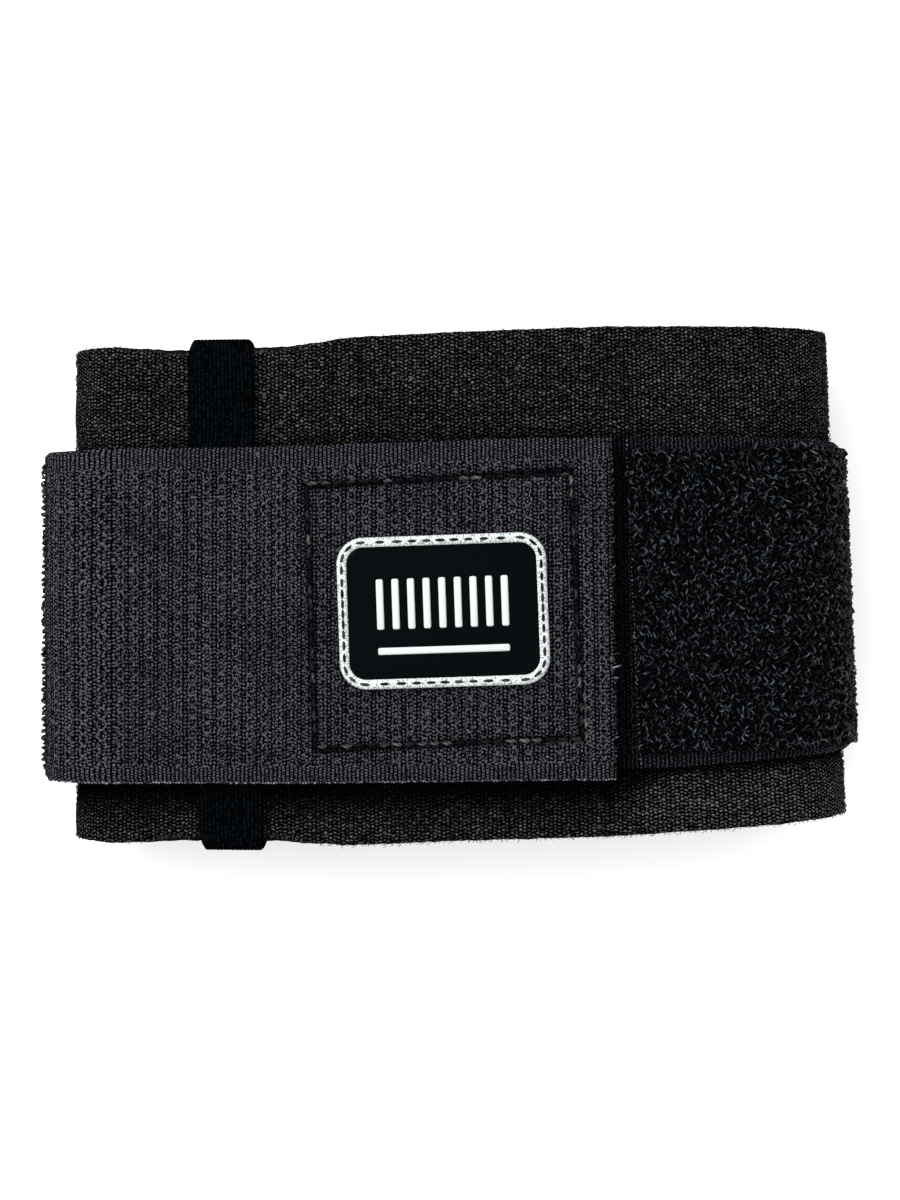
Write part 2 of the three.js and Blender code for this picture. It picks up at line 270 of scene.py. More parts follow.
def wind(bm, place):
    """Winds a flat bmesh on. place gives run, y and lift, and may add a UV other than (run, y), and a shade."""
    uv = bm.loops.layers.uv.new("flat")
    shade = bm.verts.layers.float.new("shade")
    flat = {}
    for v in bm.verts:
        spot = place(v.co.x, v.co.y, v.co.z)
        flat[v] = spot[3] if len(spot) > 3 else spot[:2]
        v[shade] = spot[4] if len(spot) > 4 else 1
        v.co = wound(*spot[:3])
    for face in bm.faces:
        face.smooth = True
        for loop in face.loops:
            loop[uv].uv = flat[loop.vert]


def ring_slab(along, across):
    """A slab without its two short ends, for a ply that closes into a ring."""
    bm = flat_slab(along, across)
    ends = [f for f in bm.faces if all(abs(abs(v.co.x) - 0.5) < 1e-5 for v in f.verts)]
    bmesh.ops.delete(bm, geom=ends, context="FACES_ONLY")
    return bm


def wind_ring(bm, place):
    wind(bm, place)
    bmesh.ops.remove_doubles(bm, verts=bm.verts[:], dist=1e-6)
    bmesh.ops.recalc_face_normals(bm, faces=bm.faces[:])


def into_scene(name, data):
    made = bpy.data.objects.new(name, data)
    bpy.context.scene.collection.objects.link(made)
    return made


def finish_piece(name, bm, material, node):
    """Turns a bmesh into a piece that stands for a CAD node, and hides that node."""
    mesh = bpy.data.meshes.new(name)
    bm.to_mesh(mesh)
    bm.free()
    return own_piece(name, mesh, material, node, node)


def ply(name, grid, place, material, node):
    bm = flat_slab(*grid)
    wind(bm, place)
    return finish_piece(name, bm, material, node)


def own_piece(name, mesh, material, slot, *nodes):
    """Gives a mesh its material and the object that it rides with, and hides the given CAD nodes. slot is not used.
    """
    mesh.materials.append(material)
    piece = into_scene(name, mesh)
    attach(piece, "root")
    if nodes:
        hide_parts(*nodes)
    triangles = sum(len(p.vertices) - 2 for p in mesh.polygons)
    print(f"{name}: {len(mesh.vertices)} points, {triangles} triangles")
    return piece


def rounding(distance, thickness):
    """How far each face of a ply falls away at a distance from its edge."""
    radius = thickness / 2
    if distance >= radius:
        return 0
    return radius - math.sqrt(max(0, radius**2 - (radius - distance) ** 2))


def denser_edges(share):
    """Moves grid rows towards the two edges of a ply, where it is round."""
    return 0.72 * share + 0.14 * math.sin(math.pi * share)


# %% [markdown]
# ## Shader groups
# All the cloths here are yarns that repeat: knit stitches, woven loops, ribs. One node group draws a field of
# cells on the flat UV and gives the height of the yarn in each, with a chance value that differs from cell to
# cell. A hollow cell is a ring, as in looped elastic, and a full one is a short bright stitch.

# %% A small helper for node trees
class Net:
    """Adds nodes to a tree. shader is the Principled node where the tree is a material's."""

    def __init__(self, tree):
        self.tree = tree
        self.shader = tree.nodes.get("Principled BSDF")

    def node(self, kind, **settings):
        made = self.tree.nodes.new(kind)
        for key, value in settings.items():
            setattr(made, key, value)
        return made

    def feed(self, socket, value):
        if isinstance(value, bpy.types.NodeSocket):
            self.tree.links.new(value, socket)
        else:
            socket.default_value = value

    def do(self, operation, *values, clamp=False):
        made = self.node("ShaderNodeMath", operation=operation, use_clamp=clamp)
        for socket, value in zip(made.inputs, values):
            self.feed(socket, value)
        return made.outputs[0]

    def times(self, total, *others):
        for other in others:
            total = self.do("MULTIPLY", total, other)
        return total

    def minus(self, total, *others):
        for other in others:
            total = self.do("SUBTRACT", total, other)
        return total

    def split(self, vector):
        made = self.node("ShaderNodeSeparateXYZ")
        self.feed(made.inputs[0], vector)
        return made.outputs

    def ramp(self, value, low, high, to_low=0.0, to_high=1.0):
        made = self.node("ShaderNodeMapRange", interpolation_type="SMOOTHSTEP")
        for socket, given in zip(made.inputs, (value, low, high, to_low, to_high)):
            self.feed(socket, given)
        return made.outputs[0]

    def mix(self, share, a, b):
        made = self.node("ShaderNodeMix", data_type="RGBA")
        for index, given in ((0, share), (6, a), (7, b)):
            self.feed(made.inputs[index], given)
        return made.outputs[2]

    def noise(self, vector, scale, detail=2.0):
        made = self.node("ShaderNodeTexNoise")
        for label, value in (("Vector", vector), ("Scale", scale), ("Detail", detail)):
            self.feed(made.inputs[label], value)
        return made.outputs["Fac"]

    def flat(self):
        """The place on the flat ply, in millimetres."""
        return self.node("ShaderNodeUVMap", uv_map="flat").outputs[0]

    def attribute(self, name):
        return self.node("ShaderNodeAttribute", attribute_name=name).outputs["Fac"]

    def paint(self, colour):
        self.feed(self.shader.inputs["Base Color"], colour)

    def bump(self, height, strength, depth_mm):
        made = self.node("ShaderNodeBump")
        for label, value in (("Strength", strength), ("Distance", depth_mm * MM), ("Height", height)):
            self.feed(made.inputs[label], value)
        self.feed(self.shader.inputs["Normal"], made.outputs[0])


def open_group(name, inputs, outputs):
    """A node group with float inputs, except Flat, which is a vector. Returns its net and its two ends."""
    tree = bpy.data.node_groups.new(name, "ShaderNodeTree")
    for label in inputs:
        kind = "NodeSocketVector" if label == "Flat" else "NodeSocketFloat"
        tree.interface.new_socket(label, in_out="INPUT", socket_type=kind)
    for label in outputs:
        tree.interface.new_socket(label, in_out="OUTPUT", socket_type="NodeSocketFloat")
    net = Net(tree)
    return net, net.node("NodeGroupInput").outputs, net.node("NodeGroupOutput").inputs


# %% The yarn cells
YARN_INPUTS = ["Flat", "Pitch U", "Pitch V", "Long U", "Long V", "Hollow", "Wobble", "Uneven"]
net, given, out = open_group("yarn_cells", YARN_INPUTS, ["Height", "Chance"])
wander = net.node("ShaderNodeTexNoise", noise_dimensions="2D")
for label, value in (("Vector", given["Flat"]), ("Scale", 1.1), ("Detail", 2.0)):
    net.feed(wander.inputs[label], value)
drift = net.split(wander.outputs["Color"])
place = net.split(given["Flat"])
moved = [net.do("ADD", place[i], net.times(net.minus(drift[i], 0.5), given["Wobble"])) for i in (0, 1)]
column = net.do("DIVIDE", moved[0], given["Pitch U"])
column_number = net.do("FLOOR", column)
half_step = net.times(net.do("MODULO", net.do("ABSOLUTE", column_number), 2.0), 0.5)
dice = net.node("ShaderNodeTexWhiteNoise", noise_dimensions="1D")
net.feed(dice.inputs["W"], column_number)
step_up = net.do("ADD", half_step, net.times(dice.outputs["Value"], given["Uneven"]))
row = net.do("ADD", net.do("DIVIDE", moved[1], given["Pitch V"]), step_up)
row_number = net.do("FLOOR", row)
beside = net.do("DIVIDE", net.minus(column, column_number, 0.5), given["Long U"])
above = net.do("DIVIDE", net.minus(row, row_number, 0.5), given["Long V"])
reach = net.do("SQRT", net.do("ADD", net.do("POWER", beside, 2.0), net.do("POWER", above, 2.0)))
full = net.times(net.ramp(reach, 1.1, 0.15), net.minus(1.0, given["Hollow"]))
ring = net.times(net.ramp(net.do("ABSOLUTE", net.minus(reach, 0.88)), 0.24, 0.04), given["Hollow"])
net.feed(out["Height"], net.do("ADD", full, ring))
cell = net.node("ShaderNodeCombineXYZ")
net.feed(cell.inputs[0], column_number)
net.feed(cell.inputs[1], row_number)
chance = net.node("ShaderNodeTexWhiteNoise", noise_dimensions="2D")
net.feed(chance.inputs["Vector"], cell.outputs[0])
net.feed(out["Chance"], chance.outputs["Value"])
yarn_cells = net.tree

# %% [markdown]
# Dark cloth always carries pale dust and lint. A second group gives a mask of scattered specks of a chosen size.

# %% The lint group
net, given, out = open_group("lint", ["Flat", "Scale", "Amount"], ["Mask"])
specks = net.node("ShaderNodeTexVoronoi", feature="F1")
net.feed(specks.inputs["Vector"], given["Flat"])
net.feed(specks.inputs["Scale"], given["Scale"])
near = net.ramp(specks.outputs["Distance"], 0.35, 0.05)
rare = net.do("LESS_THAN", net.split(specks.outputs["Color"])[0], given["Amount"])
net.feed(out["Mask"], net.times(near, rare))
lint = net.tree

# %% [markdown]
# ## Materials
# Each cloth mixes a dark gap colour and a lighter yarn colour by the height of its cells, varies the yarn from
# cell to cell, and bends the light with the same height as bump. The gap colour is partly the cloth's dark ground
# and partly painted shade between the yarns. Even a weak gloss greys black cloth under a white sky, so the cloths
# have none.

# %% Starting a material and placing a group
def surface(name, roughness, gloss=0.0):
    material = bpy.data.materials.new(name)
    material.use_nodes = True
    net = Net(material.node_tree)
    net.shader.inputs["Roughness"].default_value = roughness
    net.shader.inputs["Specular IOR Level"].default_value = gloss
    return material, net


def placed(net, group, *values):
    """Places a group in a material and feeds its inputs in their order."""
    made = net.node("ShaderNodeGroup", node_tree=group)
    for socket, value in zip(made.inputs, values):
        net.feed(socket, value)
    return made.outputs


def cells(net, flat, pitch, long, hollow, wobble, uneven=0.0):
    return placed(net, yarn_cells, flat, *pitch, *long, hollow, wobble, uneven)


def specks_of_lint(net, flat, scale, amount):
    return placed(net, lint, flat, scale, amount)["Mask"]


def rgb(r, g, b):
    return (r, g, b, 1.0)


def plain_weave(name, roughness, pitch, long, wobble, dark, pale, bump, lowest=1.0):
    """A cloth with one kind of full cell. lowest is the height of its lowest yarns, beside 1 for the highest."""
    material, net = surface(name, roughness)
    yarn = cells(net, net.flat(), pitch, long, 0.0, wobble)
    height = net.times(yarn["Height"], net.ramp(yarn["Chance"], 0.1, 0.9, lowest, 1.0))
    net.paint(net.mix(height, dark, pale))
    net.bump(height, *bump)
    return material


# %% The sleeve's knit
KNIT_PITCH = girth / round(girth / 0.8)  # a whole number of columns round the sleeve, so that no seam shows

sleeve_knit, net = surface("sleeve_knit", 0.85)
flat = net.flat()
stitch = cells(net, flat, (KNIT_PITCH, 0.68), (0.52, 0.36), 0.0, 0.8, 0.35)
height = net.times(stitch["Height"], net.ramp(net.noise(flat, 2.6, 3.0), 0.3, 0.62, 0.2, 1.15))
chancy = net.ramp(stitch["Chance"], 0.0, 1.0, 0.5, 1.08)
patchy = net.ramp(net.noise(flat, 0.11, 3.0), 0.35, 0.65, 0.85, 1.12)
# Painted shade and painted light on the knit, from each point's shade value.
shade = net.attribute("shade")
bright = net.do("MULTIPLY", net.times(net.ramp(height, 0.05, 0.9), chancy, patchy), shade, clamp=True)
yarn = net.mix(stitch["Chance"], rgb(0.05, 0.049, 0.045), rgb(0.085, 0.085, 0.081))
colour = net.mix(bright, rgb(0.0003, 0.0004, 0.0004), yarn)
dusty = net.times(specks_of_lint(net, flat, 0.6, 0.03), shade, 0.3)
net.paint(net.mix(dusty, colour, rgb(0.1, 0.1, 0.09)))
net.bump(height, 0.9, 0.25)

# %% The sleeve's foam and inner knit
foam, net = surface("neoprene_foam", 0.7)
pores = net.noise(net.node("ShaderNodeTexCoord").outputs["Object"], 3500.0)
net.paint(net.mix(pores, rgb(0.0005, 0.0007, 0.0008), rgb(0.005, 0.005, 0.005)))
net.bump(pores, 0.5, 0.1)

# %% [markdown]
# The elastic has plain ribs in its two selvedges, and between them columns of looped yarn with fine dots. Its colour
# also carries painted shade: along the sewn square, where the thread has pulled the cloth into a channel, beside the
# free end, where the lap keeps the light off the first turn, and less deeply over the rest of the first turn up to
# the right-hand fold.

# %% The weave of the strap's elastic
RIB_PITCH = 0.78
SELVEDGE_LOW = 2.9
SELVEDGE_HIGH = STRAP_WIDTH - 3.8
STITCH_HALF = 24.8

strap_elastic, net = surface("strap_elastic", 0.8)
flat = net.flat()
u, v, _ = net.split(flat)
loops = cells(net, flat, (2.74, 2.08), (0.27, 0.55), 1.0, 0.4, 0.15)
between_loops = cells(net, flat, (0.7, 0.72), (0.5, 0.46), 0.0, 0.5, 0.8)
rib = net.do("ABSOLUTE", net.do("SINE", net.times(u, math.pi / RIB_PITCH)))
knots = cells(net, flat, (RIB_PITCH, 0.52), (0.55, 0.5), 0.0, 0.3)
ribbed = net.times(net.ramp(rib, 0.25, 0.95, 0.2, 1.0), net.ramp(knots["Height"], 0.0, 0.8, 0.2, 1.05))
above_low = net.ramp(v, SELVEDGE_LOW - 0.3, SELVEDGE_LOW + 0.5)
below_high = net.ramp(v, SELVEDGE_HIGH + 0.3, SELVEDGE_HIGH - 0.5)
body = net.times(above_low, below_high)
dots = net.times(between_loops["Height"], net.ramp(between_loops["Chance"], 0.0, 1.0, 0.6, 1.35))
outlines = net.times(loops["Height"], net.ramp(net.noise(flat, 0.06), 0.35, 0.65, 0.5, 0.88))
in_body = net.times(net.do("MAXIMUM", outlines, dots), body)
woven = net.do("ADD", in_body, net.times(ribbed, net.minus(1.0, body)))
height = net.times(woven, net.ramp(net.noise(flat, 2.8, 3.0), 0.38, 0.62, 0.1, 1.3))

# %% The light on the strap's elastic
# Painted shade on the first turn: deepest beside the free end, less deep over the rest of the front, gone past the
# right-hand fold.
beside_lap = net.ramp(u, lap_end - strap_start + 0.5, lap_end - strap_start + 8, 0.1, 0.4)
shade = net.do("ADD", beside_lap, net.ramp(u, front_run - strap_start, front_run - strap_start + 25, 0.0, 0.6))
across = net.minus(u, girth + patch_run - strap_start)
up = net.minus(v, STRAP_WIDTH / 2)
turned_across = net.do("ADD", across, net.times(up, HOOK_TURN))
turned_up = net.minus(up, net.times(across, HOOK_TURN))
from_middle = net.do("MAXIMUM", net.do("ABSOLUTE", turned_across), net.do("ABSOLUTE", turned_up))
# Painted shade in the channel along the sewn square.
channel = net.ramp(net.do("ABSOLUTE", net.minus(from_middle, STITCH_HALF)), 0.25, 1.3, 0.15, 1.0)
bands = net.ramp(net.noise(flat, 0.09), 0.35, 0.65, 0.85, 1.15)
chancy = net.ramp(loops["Chance"], 0.0, 1.0, 0.92, 1.1)
lit = net.times(bands, chancy, shade, channel, 1.17)
bright = net.do("MULTIPLY", net.ramp(height, 0.02, 1.0), lit, clamp=True)
yarn = net.mix(net.noise(flat, 0.5), rgb(0.064, 0.059, 0.078), rgb(0.075, 0.074, 0.086))
colour = net.mix(bright, rgb(0.0003, 0.0002, 0.0005), yarn)
dusty = net.times(specks_of_lint(net, flat, 0.5, 0.03), shade, 0.3)
net.paint(net.mix(dusty, colour, rgb(0.13, 0.125, 0.14)))
net.bump(height, 0.9, 0.25)

# %% Webbing, hook tape and the ground of the pile
dark, pale = rgb(0.0001, 0.0003, 0.0005), rgb(0.0036, 0.0046, 0.0054)
keeper_webbing = plain_weave("keeper_webbing", 0.75, (0.75, 0.5), (0.5, 0.5), 0.2, dark, pale, (0.5, 0.12), 0.15)
dark, pale = rgb(0.0003, 0.0004, 0.0005), rgb(0.002, 0.003, 0.004)
pile_ground = plain_weave("pile_ground", 0.9, (0.8, 0.8), (0.5, 0.5), 0.3, dark, pale, (0.6, 0.2))
dark, pale = rgb(0.0005, 0.0005, 0.0006), rgb(0.005, 0.005, 0.006)
hook_tape = plain_weave("hook_tape", 0.5, (1.4, 1.6), (0.3, 0.4), 0.1, dark, pale, (0.8, 0.4))

# %% [markdown]
# Curls, threads and fibres are geometry. Their tint is an attribute of their points, so that no two need look alike.
# On the black curls and threads, the pale tint is a painted glint.

# %% Strands
def strand(name, dark, pale, roughness):
    material, net = surface(name, roughness, gloss=0.04)
    net.paint(net.mix(net.attribute("tint"), dark, pale))
    return material


# The pale colours of the pile's curls and of the black thread are painted glints on black nylon.
pile_curl = strand("pile_curl", rgb(0.0003, 0.0005, 0.0007), rgb(0.08, 0.09, 0.102), 0.3)
black_thread = strand("black_thread", rgb(0.0003, 0.0004, 0.0005), rgb(0.1, 0.103, 0.096), 0.3)
dark_fibre = strand("dark_fibre", rgb(0.002, 0.002, 0.002), rgb(0.16, 0.15, 0.14), 0.6)
strap_fibre = strand("strap_fibre", rgb(0.004, 0.0035, 0.005), rgb(0.2, 0.19, 0.22), 0.6)

# %% The badge's two finishes
badge_black, net = surface("badge_black", 0.4, gloss=0.01)
grain = net.noise(net.flat(), 4.0, 3.0)
net.paint(net.mix(grain, rgb(0.0003, 0.0008, 0.001), rgb(0.0012, 0.002, 0.0024)))
net.feed(net.shader.inputs["Roughness"], net.ramp(grain, 0.2, 0.8, 0.3, 0.55))
net.bump(grain, 0.2, 0.05)

badge_silver, net = surface("badge_silver", 0.35, gloss=0.3)
# The rim is mottled pale silver and dark teal by a noise, which also varies its roughness.
silver_mottle = net.noise(net.flat(), 1.9, 4.0)
net.paint(net.mix(net.ramp(silver_mottle, 0.36, 0.56), rgb(0.09, 0.12, 0.115), rgb(0.46, 0.49, 0.48)))
net.feed(net.shader.inputs["Roughness"], net.ramp(silver_mottle, 0.3, 0.7, 0.45, 0.25))
net.bump(silver_mottle, 0.3, 0.08)


# %% [markdown]
# ## The sleeve
# The real sleeve is foam rubber between two knit faces, sewn into a tube. It could be a cylinder that is
# flattened by hand, but the wound ply is simpler and gives the knit its true size. The slab's two short ends are
# taken off and welded, which closes the ring. It swells a little beside the strap, and the keeper draws its
# edges in. The cut faces at the two open ends are foam, so they get the second material. Painted shade darkens
# the knit along the strap's two edges, where the strap keeps the light off it, and reaches further out where the
# lap makes it thick; below the strap and right of the lap, painted light makes the knit paler. A shade value at
# each point carries that to the material.

# %% How light the knit is
STRAP_SHADE = 0.93
UPPER_SHADE = 0.5
PAINTED_LIGHT_GAIN = 0.8


# Painted shade below and above the strap, and painted light below it to the right of the lap.
def knit_shade(run, y):
    low, high = strap_span(run)
    if y >= low:
        return 1 - UPPER_SHADE * smooth(3, 0, y - high)
    lapped = 1 if run > girth / 2 else smooth(lap_end + 12, lap_end - 4, run)
    shade = 1 - STRAP_SHADE * smooth(4 + 7 * lapped, 0.5 + lapped, low - y)
    return shade * (1 + PAINTED_LIGHT_GAIN * (1 - lapped))


# %% The sleeve's tube
def sleeve_place(x, y, z):
    run = (x + 0.5) * girth
    low, high, pinch = sleeve_edges(run)
    pass_run = run + girth if run < strap_start else run
    strap_low, strap_high, _ = strap_at(pass_run)
    is_outer = z > 0.5
    share = denser_edges(y)
    drawn = pinch if is_outer else 0
    spot = low + drawn + (share + 0.5) * (high - low - 2 * drawn)
    beyond = max(spot - strap_high, strap_low - spot, 0)
    free = 1 - keeper_hold(run)
    swell = SWELL * free * (smooth(0, 7, beyond) - 0.5 * smooth(8, 16, beyond))
    waves = 0.35 * free * smooth(0, 8, beyond) * ripple(run, spot, 14)
    from_edge = min(spot - low - drawn, high - drawn - spot)
    spot += 0.18 * ripple(run, spot, 1.1, 3) if from_edge < 0.2 else 0
    lift = swell + waves
    edge_fall = 0.5 * rounding(from_edge, 1.2)
    if is_outer:
        return run, spot, lift - edge_fall, (run, spot), knit_shade(run, spot)
    return run, spot, lift - SLEEVE_WALL + edge_fall


bm = ring_slab(*SLEEVE_GRID)
for face in bm.faces:
    if all(abs(abs(v.co.y) - 0.5) < 1e-5 for v in face.verts):
        face.material_index = 1
wind_ring(bm, sleeve_place)
sleeve = finish_piece("sleeve_neoprene", bm, sleeve_knit, "sleeve")
sleeve.data.materials.append(foam)

# %% [markdown]
# ## The strap
# The elastic is one long ply. Its first turn lies on the sleeve, the last one laps over the keeper, the hook
# patch and the first turn, and ends on the front. The stitches of the hook patch pull the lap down in a square.

# %% Where the sewn square runs
low, high, _ = strap_at(girth + patch_run)
patch_middle = (low + high) / 2


def on_patch_place(across, up):
    """The run and y of a place that is given from the middle of the hook patch and turned with it."""
    return patch_run + across - HOOK_TURN * up, patch_middle + up + HOOK_TURN * across


def from_square(run, y):
    """The distance of a place on the lap from the sewn square."""
    across, up = run - patch_run, y - patch_middle
    return abs(max(abs(across + HOOK_TURN * up), abs(up - HOOK_TURN * across)) - STITCH_HALF)


# %% The strap's band
def strap_place(x, y, z):
    length = strap_end - strap_start
    run = strap_start + (x + 0.5) * length
    low, high, lift = strap_at(run)
    share = denser_edges(y) + 0.5
    cut_place = share * STRAP_WIDTH
    wave = 0.22 * ripple(run, 40 if y > 0 else -40, 9, 5 + (run > girth))
    spot = low + share * (high - low) + wave * abs(2 * share - 1) ** 3
    fall = rounding(min(cut_place, STRAP_WIDTH - cut_place), STRAP_THICKNESS)
    is_lap = smooth(girth - left_run, girth, run)
    loose = 0.28 * is_lap * ripple(run, spot, 22, 2)
    is_top = z > 0.5
    if is_top and run > girth:
        loose -= 0.6 * math.exp(-((from_square(run - girth, spot) / 0.9) ** 2))
    if x > 0.499:
        run += 0.25 * ripple(run, spot, 1.3, 9)
    lift += loose + (STRAP_THICKNESS - fall if is_top else fall)
    return run, spot, lift, (run - strap_start, cut_place)


strap = ply("strap_elastic_band", STRAP_GRID, strap_place, strap_elastic, "strap")

# %% [markdown]
# ## The keeper
# The keeper is half-inch webbing. Its line goes up the inside of the sleeve, over one edge, down the front and
# over the strap's first turn, and back in at the other edge. The webbing is a slab whose long side follows that
# line, with real ribs along it, and it narrows a little where it is folded over the edges.

# %% The keeper's line and webbing
def keeper_line():
    low, high, _ = sleeve_edges(keeper_run)
    strap_low, strap_high, _ = strap_at(keeper_run)
    half = KEEPER_THICKNESS / 2
    inside = -SLEEVE_WALL - PLY_GAP - half
    outside = on_sleeve + half
    over = on_strap + half
    bend = KEEPER_THICKNESS * 0.75

    def fold(edge, side):
        tip = edge + side * (PLY_GAP + half)
        root = tip - side * bend
        slope = bend * math.sqrt(0.5)
        return [
            (edge - side * 12, inside),
            (root, inside),
            (root + side * slope, inside + bend - slope),
            (tip, inside + bend),
            (tip, outside - bend),
            (root + side * slope, outside - bend + slope),
            (root, outside),
        ]

    middle = [(strap_high + 4, outside), (strap_high + 1.3, over), (strap_low - 1.3, over), (strap_low - 4, outside)]
    return [Vector(p) for p in (*fold(high, 1), *middle, *reversed(fold(low, -1)))]


def along_line(line):
    """Returns a function that gives the place and the sideways direction at a share of the line's length."""
    steps = [(b - a).length for a, b in zip(line, line[1:])]
    total = sum(steps)

    def at(share):
        left = min(max(share, 0), 1) * total
        i = 0
        while i < len(steps) - 1 and left > steps[i]:
            left -= steps[i]
            i += 1
        return line[i].lerp(line[i + 1], left / steps[i])

    def both(share):
        ahead = at(share + 0.003) - at(share - 0.003)
        ahead.normalize()
        return at(share), Vector((ahead.y, -ahead.x))

    return both, total


keeper_at, keeper_length = along_line(keeper_line())


def keeper_place(x, y, z):
    spot, aside = keeper_at(x + 0.5)
    is_outer = z > 0.5
    low, high, _ = sleeve_edges(keeper_run)
    folded = max(smooth(high - 4, high + 1, spot.x), smooth(low + 4, low - 1, spot.x))
    tips = max(smooth(high - 1, high + 1, spot.x), smooth(low + 1, low - 1, spot.x))
    width = KEEPER_WIDTH * (1 - 0.05 * folded - 0.07 * tips)
    ribs = 0.11 * abs(math.cos(math.pi * KEEPER_RIBS * (y + 0.5)))
    fall = rounding((0.5 - abs(y)) * width, KEEPER_THICKNESS)
    out = (KEEPER_THICKNESS / 2 - fall - ribs) * (-1 if is_outer else 1)
    spot = spot + aside * out
    sag = 0.25 * ripple(keeper_run + 9 * y, spot.x, 6, 4) * (1 - folded) if is_outer else 0
    run = keeper_run - spot.x * 0.024 + y * width
    return run, spot.x, spot.y + sag * 0.3, (y * KEEPER_WIDTH, (x + 0.5) * keeper_length)


keeper = ply("keeper_webbing_band", KEEPER_GRID, keeper_place, keeper_webbing, "keeper")

# %% [markdown]
# ## The hook patch and the ground of the pile
# Both are plain plies. The patch is hidden between the two turns of the strap and turned as its stitching is.
# The pile's ground is thin, since the curls that are sewn through it make most of its height.

# %% Both plies
def patch_place(x, y, z):
    return *on_patch_place(x * HOOK_SIZE, y * HOOK_SIZE), on_strap + z * HOOK_THICKNESS


patch = ply("hook_tape_patch", PATCH_GRID, patch_place, hook_tape, "hook_patch")

PILE_GROUND = 0.7
PILE_MARGIN = 2.6


def pile_spot(along, across):
    """A place on the pile panel, from shares of its length and width."""
    start = lap_end + 4 - 0.026 * across * STRAP_WIDTH
    run = start + along * (pile_end - start)
    low, high, lift = strap_at(run)
    half = (high - low) / 2 - PILE_MARGIN * (1 - 0.45 * smooth(front_run - 12, front_run + 4, run))
    return run, (low + high) / 2 + 2 * across * half, lift + STRAP_THICKNESS


def pile_place(x, y, z):
    run, spot, lift = pile_spot(x + 0.5, y)
    return run, spot, lift + 0.1 + z * PILE_GROUND


ground = ply("loop_pile_ground", PILE_GRID, pile_place, pile_ground, "loop_pile")

# %% [markdown]
# ## Curls, stitches and fibres
# Small repeated things start from one template each. A curl is a thin circle that is spun through part of a
# turn. The template is then copied, turned, leant and scaled to every place in a list, wound on with the rest,
# and joined into one mesh. Every random value comes from one seeded source, so each run gives the same model.

# %% Templates and the scatter
chance_of = random.Random(52)
uniform, gauss, chance = chance_of.uniform, chance_of.gauss, chance_of.random


def turn(bm, angle, axis, verts):
    bmesh.ops.rotate(bm, cent=(0, 0, 0), matrix=Matrix.Rotation(angle, 3, axis), verts=verts)


def curl(sides, steps, tube, radius, degrees):
    """A part of a thin ring that stands upright, with its middle over the origin."""
    bm = bmesh.new()
    bmesh.ops.create_circle(bm, segments=sides, radius=tube, cap_ends=False)
    bmesh.ops.translate(bm, vec=(radius, 0, 0), verts=bm.verts[:])
    turn(bm, math.radians((degrees - 180) / 2), "Y", bm.verts[:])
    geom, angle = bm.verts[:] + bm.edges[:], math.radians(degrees)
    bmesh.ops.spin(bm, geom=geom, cent=(0, 0, 0), axis=(0, -1, 0), angle=angle, steps=steps, use_duplicate=False)
    bmesh.ops.holes_fill(bm, edges=bm.edges[:], sides=sides)
    bmesh.ops.recalc_face_normals(bm, faces=bm.faces[:])
    return template_of(bm)


def thread_bead(segments, rings):
    """A rounded grain of unit length along x, from a sphere."""
    bm = bmesh.new()
    bmesh.ops.create_uvsphere(bm, u_segments=segments, v_segments=rings, radius=0.5)
    turn(bm, math.pi / 2, "Y", bm.verts[:])
    return template_of(bm)


def template_of(bm):
    """The points and faces of a bmesh, to be copied many times."""
    bm.verts.index_update()
    points = [v.co.copy() for v in bm.verts]
    faces = [[v.index for v in f.verts] for f in bm.faces]
    bm.free()
    return points, faces


def even(size):
    return (size, size, size)


def scatter(name, template, places, material, slot):
    """Copies a template to each place: (run, y, lift, heading, lean, (sx, sy, sz), tint).

    The tint is painted strongest at the template's top and weakest at its foot: a painted highlight where a strand
    would catch the light.
    """
    points, faces = template
    bottom, top = min(p.z for p in points), max(p.z for p in points)
    painted_highlight = [0.08 + 0.92 * ((p.z - bottom) / (top - bottom)) ** 3 for p in points]
    all_points, all_faces, tints = [], [], []
    for run, y, lift, heading, lean, scale, tint in places:
        posed = Matrix.Rotation(heading, 3, "Z") @ Matrix.Rotation(lean, 3, "X") @ Matrix.Diagonal(scale)
        first = len(all_points)
        for point in points:
            spot = posed @ point
            all_points.append(wound(run + spot.x, y + spot.y, lift + spot.z))
        all_faces.extend([first + i for i in face] for face in faces)
        tints.extend(tint * share for share in painted_highlight)
    mesh = bpy.data.meshes.new(name)
    mesh.from_pydata(all_points, [], all_faces)
    mesh.shade_smooth()
    layer = mesh.attributes.new("tint", "FLOAT", "POINT")
    layer.data.foreach_set("value", tints)
    return own_piece(name, mesh, material, slot)


# %% [markdown]
# ## The loop pile
# On the real panel each loop is a stiff, shiny monofilament that stands up and flops over, and the rows flop to
# the left and right by turns. Loops lie closer on the front than under the fold.

